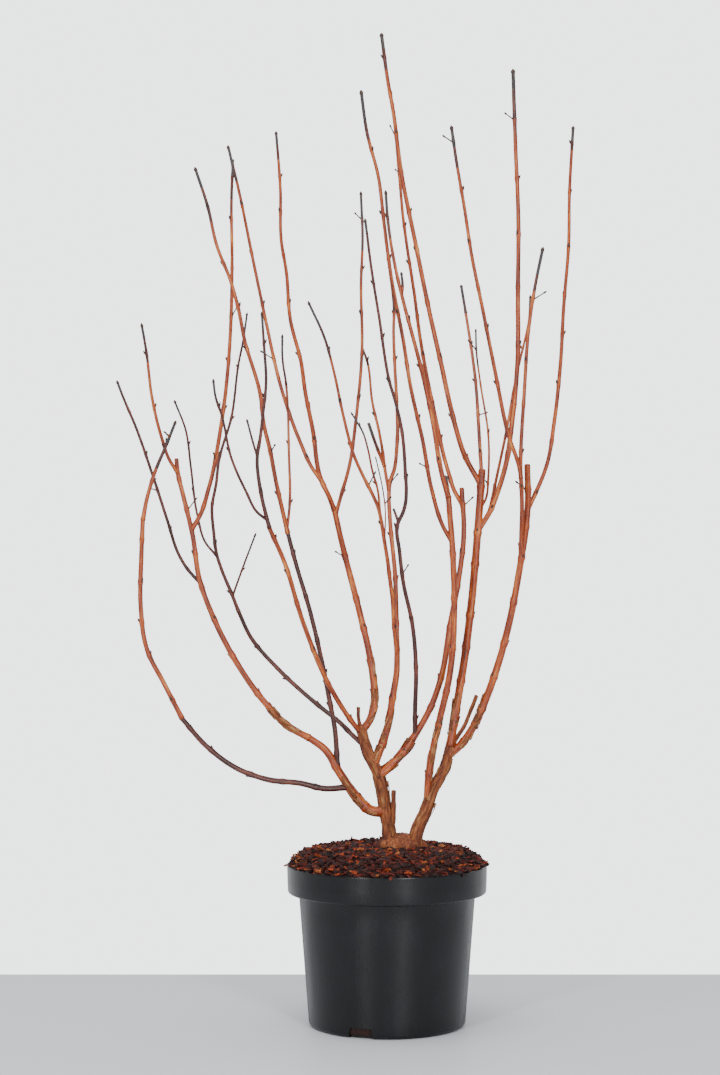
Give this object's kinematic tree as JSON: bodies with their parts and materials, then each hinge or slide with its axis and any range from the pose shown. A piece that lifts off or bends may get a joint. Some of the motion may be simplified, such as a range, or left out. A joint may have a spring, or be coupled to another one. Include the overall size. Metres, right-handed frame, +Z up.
{
  "type": "potted ninebark",
  "caption": "Leafless young deciduous shrub with upright reddish-brown stems, in a round black nursery pot topped with bark mulch.",
  "frame": {"origin": "centre of the pot's flat underside", "axes": "+Z up the plant, +Y towards its back, -Y towards the side that the picture shows"},
  "size_m": [0.4607, 0.3321, 0.9828],
  "materials": {
    "black_plastic": "moulded polypropylene, semi-gloss",
    "bark_mulch": "loose bark chips, matt",
    "old_bark": "peeling bark, matt",
    "young_bark": "smooth young bark, satin",
    "young_twigs": "smooth young bark, satin",
    "dark_twigs": "smooth dark red-brown bark, satin"
  },
  "bodies": {
    "root": {"bough_back_left": "young_bark", "bough_centre": "young_bark", "bough_centre_left": "young_bark", "bough_centre_low": "young_bark", "bough_centre_right": "young_bark", "bough_front_left": "young_bark", "bough_inner_right": "young_bark", "bough_left": "young_bark", "bough_left_low": "young_bark", "bough_right": "young_bark", "bough_right_outer": "young_bark", "bough_tall_left": "young_bark", "cane_outer": "young_bark", "cane_outer_low": "young_bark", "mulch": "bark_mulch", "pot": "black_plastic", "root_crown": "old_bark", "stub_dry": "old_bark", "stub_old": "old_bark", "stub_top": "old_bark", "trunk_left": "old_bark", "trunk_right": "old_bark", "twigs_back": "young_twigs", "twigs_back_left": "dark_twigs", "twigs_back_right": "young_twigs", "twigs_centre": "young_twigs", "twigs_centre_back": "young_twigs", "twigs_centre_left": "young_twigs", "twigs_dark_front": "dark_twigs", "twigs_far_right": "young_twigs", "twigs_front_centre": "young_twigs", "twigs_front_left": "dark_twigs", "twigs_front_right": "young_twigs", "twigs_inner_right": "young_twigs", "twigs_left": "young_twigs", "twigs_left_low": "dark_twigs", "twigs_left_stub": "young_twigs", "twigs_outer_left": "young_twigs", "twigs_right": "young_twigs", "twigs_tall_front": "young_twigs", "twigs_tall_left": "young_twigs", "twigs_tallest": "young_twigs", "twigs_thin_right": "young_twigs"}
  },
  "joints": []
}
